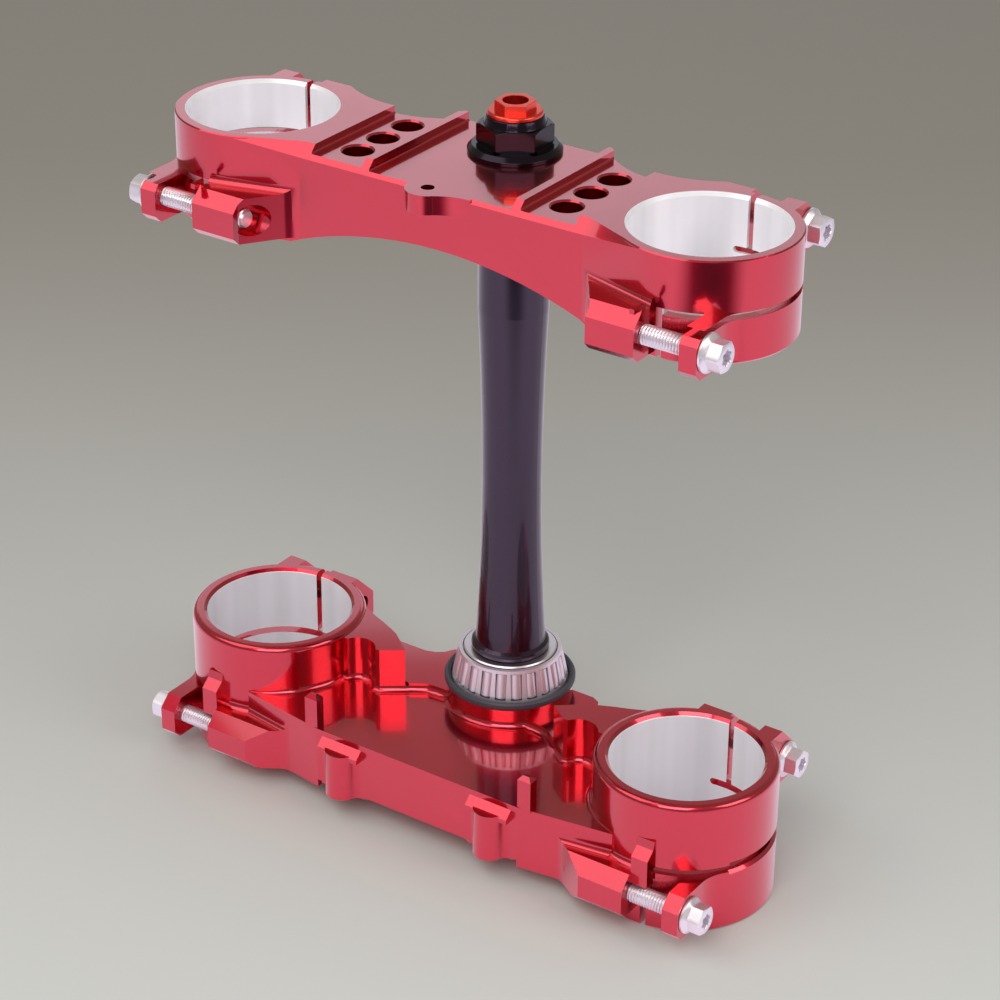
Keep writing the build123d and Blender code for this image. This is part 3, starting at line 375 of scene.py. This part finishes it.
def lathed(name, grid, first_pole, last_pole):
    """Surface from a grid of rings (ring, place round the ring, xyz), wrapped round.

    A pole closes the first ring with a fan, and the last one too unless it is None.
    """
    rings, around = grid.shape[:2]
    points = grid.reshape(-1, 3)
    ring, step = np.meshgrid(np.arange(rings - 1), np.arange(around), indexing="ij")
    beside = (step + 1) % around
    quads = np.stack([ring * around + step, ring * around + beside,
                      (ring + 1) * around + beside, (ring + 1) * around + step], axis=-1)
    faces = quads.reshape(-1, 4).tolist()
    turn = np.arange(around)
    points = np.vstack([points, first_pole])
    fan = np.stack([(turn + 1) % around, turn, np.full(around, rings * around)], axis=1)
    faces += fan.tolist()
    if last_pole is not None:
        points = np.vstack([points, last_pole])
        start = (rings - 1) * around
        fan = np.stack([start + turn, start + (turn + 1) % around,
                        np.full(around, rings * around + 1)], axis=1)
        faces += fan.tolist()
    mesh = bpy.data.meshes.new(name)
    mesh.from_pydata(points.tolist(), [], faces)
    made = bpy.data.objects.new(name, mesh)
    bpy.context.scene.collection.objects.link(made)
    return made


class TRIPLECLAMP_OT_studio(bpy.types.Operator):
    """Make the camera, the floor, the lamps and the surroundings"""
    bl_idname = "tripleclamp.studio"
    bl_label = "Studio"

    def execute(self, context):
        studio = context.scene.studio_settings
        scene = context.scene
        scene.view_settings.view_transform = "Standard"
        self.camera(scene)
        self.floor(studio)
        self.lamp("Key lamp", *KEY_LAMP, studio.key_power, WARM)
        self.lamp("Fill lamp", *FILL_LAMP, studio.fill_power, WARM)
        self.lamp("Front lamp", *FRONT_LAMP, studio.front_power, WARM)
        self.lamp("Back lamp", *BACK_LAMP, studio.back_power, COOL)
        self.world(scene, studio)
        return {"FINISHED"}

    def camera(self, scene):
        """Camera matrix from azimuth, elevation and roll; lens from the focal length in pixels."""
        az, el, roll = (radians(v) for v in (CAMERA_AZIMUTH, CAMERA_ELEVATION, CAMERA_ROLL))
        back = np.array([np.sin(az) * np.cos(el), -np.cos(az) * np.cos(el), np.sin(el)])
        level = np.array([np.cos(az), np.sin(az), 0.0])
        upright = np.cross(back, level)
        right = np.cos(roll) * level + np.sin(roll) * upright
        up = -np.sin(roll) * level + np.cos(roll) * upright
        data = bpy.data.cameras.new("Camera")
        data.lens = CAMERA_FOCAL_PX / PHOTO_PX * SENSOR
        data.sensor_width = SENSOR
        eye = bpy.data.objects.new("Camera", data)
        scene.collection.objects.link(eye)
        turn = Matrix(np.column_stack([right, up, back]).tolist())
        eye.matrix_world = Matrix.Translation(CAMERA_PLACE) @ turn.to_4x4()
        scene.camera = eye

    def floor(self, studio):
        """Round floor: radius and angle of a polar grid, all at height zero."""
        radius = np.geomspace(*FLOOR_RADII, FLOOR_RINGS)[:, None]
        angle = np.linspace(0, 2 * pi, FLOOR_AROUND, endpoint=False)[None, :]
        level = np.zeros((FLOOR_RINGS, FLOOR_AROUND))
        grid = np.stack([radius * np.cos(angle), radius * np.sin(angle), level], axis=2)
        ground = lathed("Floor", grid, grid[0].mean(axis=0), None)
        material = bpy.data.materials.new("Floor")
        material.use_nodes = True
        tree = material.node_tree
        shader = tree.nodes["Principled BSDF"]
        shader.inputs["Roughness"].default_value = FLOOR_ROUGHNESS
        shader.inputs["Specular IOR Level"].default_value = FLOOR_SPECULAR
        place = node(tree, "ShaderNodeTexCoord")

        # what the camera sees: near colour to far colour with the depth, painted shade that darkens
        # the floor away from the camera
        depth = node(tree, "ShaderNodeVectorMath", operation="DOT_PRODUCT")
        turn = radians(CAMERA_AZIMUTH)
        depth.inputs[1].default_value = (-np.sin(turn), np.cos(turn), 0.0)
        tree.links.new(place.outputs["Object"], depth.inputs[0])
        seen = self.blend(tree, depth.outputs["Value"], FLOOR_PAINTED_FALLOFF,
                          studio.near_floor, studio.far_floor)

        # what mirroring metal sees: painted reflection, a paler floor with the painted shade of an
        # unlit place in it
        gap = node(tree, "ShaderNodeVectorMath", operation="DISTANCE")
        gap.inputs[1].default_value = SHADE_PLACE
        tree.links.new(place.outputs["Object"], gap.inputs[0])
        mirrored = self.blend(tree, gap.outputs["Value"], SHADE_FADE, SHADE, studio.painted_reflection_floor)

        rays = node(tree, "ShaderNodeLightPath")
        both = node(tree, "ShaderNodeMix", data_type="RGBA")
        tree.links.new(rays.outputs["Is Glossy Ray"], both.inputs["Factor"])
        tree.links.new(seen, both.inputs["A"])
        tree.links.new(mirrored, both.inputs["B"])
        tree.links.new(both.outputs["Result"], shader.inputs["Base Color"])
        ground.data.materials.append(material)

    def blend(self, tree, value, span, low, high):
        """Colour that goes smoothly from low to high while the value crosses the span."""
        ramp = node(tree, "ShaderNodeMapRange", {"From Min": span[0], "From Max": span[1]},
                    interpolation_type="SMOOTHSTEP")
        tree.links.new(value, ramp.inputs["Value"])
        mix = node(tree, "ShaderNodeMix", data_type="RGBA")
        mix.inputs["A"].default_value = (*low, 1)
        mix.inputs["B"].default_value = (*high, 1)
        tree.links.new(ramp.outputs["Result"], mix.inputs["Factor"])
        return mix.outputs["Result"]

    def lamp(self, name, place, size, power, colour):
        """Soft rectangular lamp that faces the middle of the clamps."""
        data = bpy.data.lights.new(name, "AREA")
        data.shape = "RECTANGLE"
        data.size, data.size_y = size
        data.energy = power
        data.color = colour
        made = bpy.data.objects.new(name, data)
        bpy.context.scene.collection.objects.link(made)
        turn = (LAMP_AIM - Vector(place)).to_track_quat("-Z", "Y").to_matrix().to_4x4()
        made.matrix_world = Matrix.Translation(place) @ turn

    def world(self, scene, studio):
        """Even light from all around; camera and mirroring metal see the far floor's colour."""
        world = bpy.data.worlds.new("Surroundings")
        scene.world = world
        world.use_nodes = True
        tree = world.node_tree
        light = tree.nodes["Background"]
        light.inputs["Strength"].default_value = studio.sky
        light.inputs["Color"].default_value = (*SKY_COLOUR, 1)
        seen = node(tree, "ShaderNodeBackground", {"Strength": 1.0})
        seen.inputs["Color"].default_value = (*studio.far_floor, 1)
        rays = node(tree, "ShaderNodeLightPath")
        both = node(tree, "ShaderNodeMixShader")
        direct = maths(tree, "ADD", rays.outputs["Is Camera Ray"], rays.outputs["Is Glossy Ray"])
        tree.links.new(direct, both.inputs["Fac"])
        tree.links.new(light.outputs["Background"], both.inputs[1])
        tree.links.new(seen.outputs["Background"], both.inputs[2])
        tree.links.new(both.outputs["Shader"], tree.nodes["World Output"].inputs["Surface"])


class TRIPLECLAMP_OT_clamps(bpy.types.Operator):
    """Finish the two milled clamps and round the lower clamp's inner corners"""
    bl_idname = "tripleclamp.clamps"
    bl_label = "Clamps"

    def execute(self, context):
        finish = context.scene.clamp_finish
        for name, radius in BORE.items():
            red = bored_red(f"Red anodised {name}", finish, radius, BARE_RIM[name])
            dress(name, red)
            break_edges(name, finish.edge_break)
        feet = self.feet()
        feet.data.materials.append(red)
        shade_smooth(feet)
        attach(feet, "clamps")
        return {"FINISHED"}

    def feet(self):
        """Concave quarter round carried along the feet of boss, deck, walls and rings.

        At angle t from 0 to 90 degrees its distance from the wall is r (1 - sin t) and its height
        above the floor r (1 - cos t); three more points lie just inside the wall and the floor.
        """
        boss = np.radians(np.linspace(*BOSS_ARC, BOSS_STEPS))
        bow = np.arcsin(SCALLOP_RISE / SCALLOP_R)
        hollow = np.linspace(pi - bow, bow, SCALLOP_STEPS)
        ring = np.radians(np.linspace(*RING_ARC, RING_STEPS))
        ring_middle = np.divide(FORK[:2], MM)
        right = np.vstack([
            BOSS_R * np.column_stack([np.cos(boss), np.sin(boss)]),
            DECK_LINE,
            np.add(SCALLOP, SCALLOP_R * np.column_stack([np.cos(hollow), np.sin(hollow)])),
            ring_middle + LOW_RING_R * np.column_stack([np.cos(ring), np.sin(ring)]),
        ])
        path = np.vstack([right[:0:-1] * [-1, 1], right])

        # direction away from the wall: across both neighbouring runs, lengthened at corners
        run = np.diff(path, axis=0)
        run /= np.linalg.norm(run, axis=1)[:, None]
        across = np.column_stack([run[:, 1], -run[:, 0]])
        before, after = np.vstack([across[:1], across]), np.vstack([across, across[-1:]])
        out = (before + after) / (1 + np.sum(before * after, axis=1))[:, None]

        place = np.arange(len(path))
        fade = np.minimum(place, place[::-1]) / FOOT_FADE
        size = FOOT_R * np.clip(fade, FOOT_LEAST, 1.0)
        t = np.linspace(pi / 2, 0, FOOT_STEPS)
        gap = np.concatenate([1 - np.sin(t), [1.0, -FOOT_SUNK, -FOOT_SUNK]])
        rise = np.concatenate([1 - np.cos(t), [-FOOT_SUNK, -FOOT_SUNK, 1.0]])
        grid = np.empty((len(path), len(gap), 3))
        grid[:, :, :2] = path[:, None] + out[:, None] * (size[:, None] * gap)[:, :, None]
        grid[:, :, 2] = FLOOR_Z + size[:, None] * rise
        grid *= MM
        return lathed("bottom_clamp_feet", grid, grid[0].mean(axis=0), grid[-1].mean(axis=0))


class TRIPLECLAMP_OT_stem(bpy.types.Operator):
    """Finish the stem, its nut and the cap bolt"""
    bl_idname = "tripleclamp.stem"
    bl_label = "Stem and nut"

    def execute(self, context):
        finish = context.scene.clamp_finish
        dress("steering_stem",
              metal("Black anodised stem", finish.black, roughness=0.26, coat=0.5))
        nut_black = [NUT_SHADE * c for c in finish.black]
        dress("stem_nut", metal("Black anodised nut", nut_black, roughness=0.22, coat=0.2))
        break_edges("stem_nut", NUT_EDGE)
        dress("stem_cap_bolt", metal("Orange anodised", finish.orange, roughness=0.3))
        break_edges("stem_cap_bolt", CAP_EDGE)
        return {"FINISHED"}


class TRIPLECLAMP_OT_bearing(bpy.types.Operator):
    """Finish the taper roller bearing and its seal"""
    bl_idname = "tripleclamp.bearing"
    bl_label = "Bearing"

    def execute(self, context):
        finish = context.scene.clamp_finish
        dress("bearing_inner_ring", metal("Ground ring", finish.steel, roughness=0.3))
        dress("bearing_cage",
              metal("Pressed cage", finish.steel, roughness=0.42, metallic=0.85))
        dress("bearing_rollers",
              metal("Ground rollers", finish.steel, roughness=0.38, metallic=0.85))
        dress("dust_seal", metal("Seal rubber", finish.rubber, roughness=0.5, metallic=0.0))
        return {"FINISHED"}


class TRIPLECLAMP_OT_bolts(bpy.types.Operator):
    """Make the eight clamp bolts with thread, flange, rounded hexagon and star recess"""
    bl_idname = "tripleclamp.bolts"
    bl_label = "Clamp bolts"

    def execute(self, context):
        finish = context.scene.clamp_finish
        plated = metal("Zinc plating", finish.zinc, roughness=0.38, variation=0.05, bump=0.03,
                       metallic=0.85)
        for index, name in enumerate(BOLT_NODES):
            low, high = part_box(name)
            side = 1 if low[0] + high[0] > 0 else -1
            ends = sorted(abs(x) for x in (low[0], high[0]))
            middle = ((low[1] + high[1]) / 2, (low[2] + high[2]) / 2)
            made = self.bolt(name, ends, middle, side, turn=radians(BOLT_TURN * index))
            made.data.materials.append(plated)
            shade_smooth(made)
            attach(made, "clamps")
            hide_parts(name)
        return {"FINISHED"}

    def bolt(self, name, ends, middle, side, turn):
        """Radius and height along the axis as functions of the ring and of the angle round it.

        The thread takes a trapezoid wave off the radius, whose phase is the height over the pitch
        plus the share of a turn, and whose floor is flat for a third of the pitch. The hexagon is
        half its flats over the cosine of the angle from the nearest flat, with its corners turned
        down, and the recess is a circle with six cosine waves.
        """
        tip, top = ends
        seat = top - BOLT_HEAD
        angle = np.linspace(0, 2 * pi, BOLT_AROUND, endpoint=False)
        flat = np.ones(BOLT_AROUND)

        rows = np.arange(tip + TIP_LENGTH, seat - NECK_LENGTH, PITCH / ROWS_PER_TURN)
        phase = (rows[:, None] / PITCH + angle[None, :] / (2 * pi)) % 1.0
        groove = np.clip(1.5 - 3.0 * np.abs(phase - 0.5), 0, 1)
        shank_r = BOLT_R - THREAD_DEPTH * groove
        shank_h = rows[:, None] * flat

        hexagon = FLATS / 2 / np.cos((angle + pi / 6) % (pi / 3) - pi / 6)
        hexagon = np.minimum(hexagon, FLATS / 2 * CORNER_REACH)
        star = STAR_R + STAR_WAVE * np.cos(6 * angle)
        chamfer = top - (hexagon - TOP_R) * CHAMFER_SLOPE
        head = [
            (seat * flat, BOLT_R * flat),
            (seat * flat, (FLANGE_R - FLANGE_EDGE) * flat),
            ((seat + FLANGE_EDGE) * flat, FLANGE_R * flat),
            ((seat + FLANGE_WALL) * flat, FLANGE_R * flat),
            ((seat + FLANGE_TOP) * flat, (FLANGE_R - FLANGE_EDGE) * flat),
            ((seat + FLARE_Z) * flat, hexagon + FLARE),
            ((seat + HEXAGON_Z) * flat, hexagon),
            (chamfer, hexagon),
            (top * flat, TOP_R * flat),
            (top * flat, star + RECESS_EDGE),
            (top * flat - RECESS_EDGE, star),
            (top * flat - RECESS_WALL, star),
        ]
        height = np.vstack([tip * flat, shank_h, [h for h, _ in head]])
        radius = np.vstack([(BOLT_R - TIP_CUT) * flat, shank_r, [r for _, r in head]])

        around = side * (angle + turn)
        grid = np.stack([side * height, middle[0] + radius * np.cos(around),
                         middle[1] + radius * np.sin(around)], axis=2)
        ends_x = (side * tip, side * (top - RECESS_DEPTH))
        poles = [np.array([x, *middle]) for x in ends_x]
        return lathed(f"{name}_detailed", grid, *poles)


STEPS = (
    TRIPLECLAMP_OT_studio, TRIPLECLAMP_OT_clamps, TRIPLECLAMP_OT_stem, TRIPLECLAMP_OT_bearing,
    TRIPLECLAMP_OT_bolts,
)


class TRIPLECLAMP_PT_sidebar(bpy.types.Panel):
    """Sidebar panel with the settings and one button for each step"""
    bl_idname = "TRIPLECLAMP_PT_sidebar"
    bl_label = "Triple Clamp"
    bl_space_type = "VIEW_3D"
    bl_region_type = "UI"
    bl_category = "Triple Clamp"

    def draw(self, context):
        for group in (context.scene.clamp_finish, context.scene.studio_settings):
            for key in group.bl_rna.properties.keys():
                if key not in ("rna_type", "name"):
                    self.layout.prop(group, key)
        for step in STEPS:
            self.layout.operator(step.bl_idname)


CLASSES = (ClampFinish, StudioSettings, *STEPS, TRIPLECLAMP_PT_sidebar)


def register():
    """Registers the classes and hangs their settings on the scene."""
    for item in CLASSES:
        bpy.utils.register_class(item)
    bpy.types.Scene.clamp_finish = bpy.props.PointerProperty(type=ClampFinish)
    bpy.types.Scene.studio_settings = bpy.props.PointerProperty(type=StudioSettings)


def unregister():
    """Takes the settings and the classes away again."""
    del bpy.types.Scene.studio_settings
    del bpy.types.Scene.clamp_finish
    for item in reversed(CLASSES):
        bpy.utils.unregister_class(item)


def main():
    """Dresses the part step by step."""
    register()
    bpy.ops.tripleclamp.studio()
    bpy.ops.tripleclamp.clamps()
    bpy.ops.tripleclamp.stem()
    bpy.ops.tripleclamp.bearing()
    bpy.ops.tripleclamp.bolts()


if __name__ == "__main__":
    main()
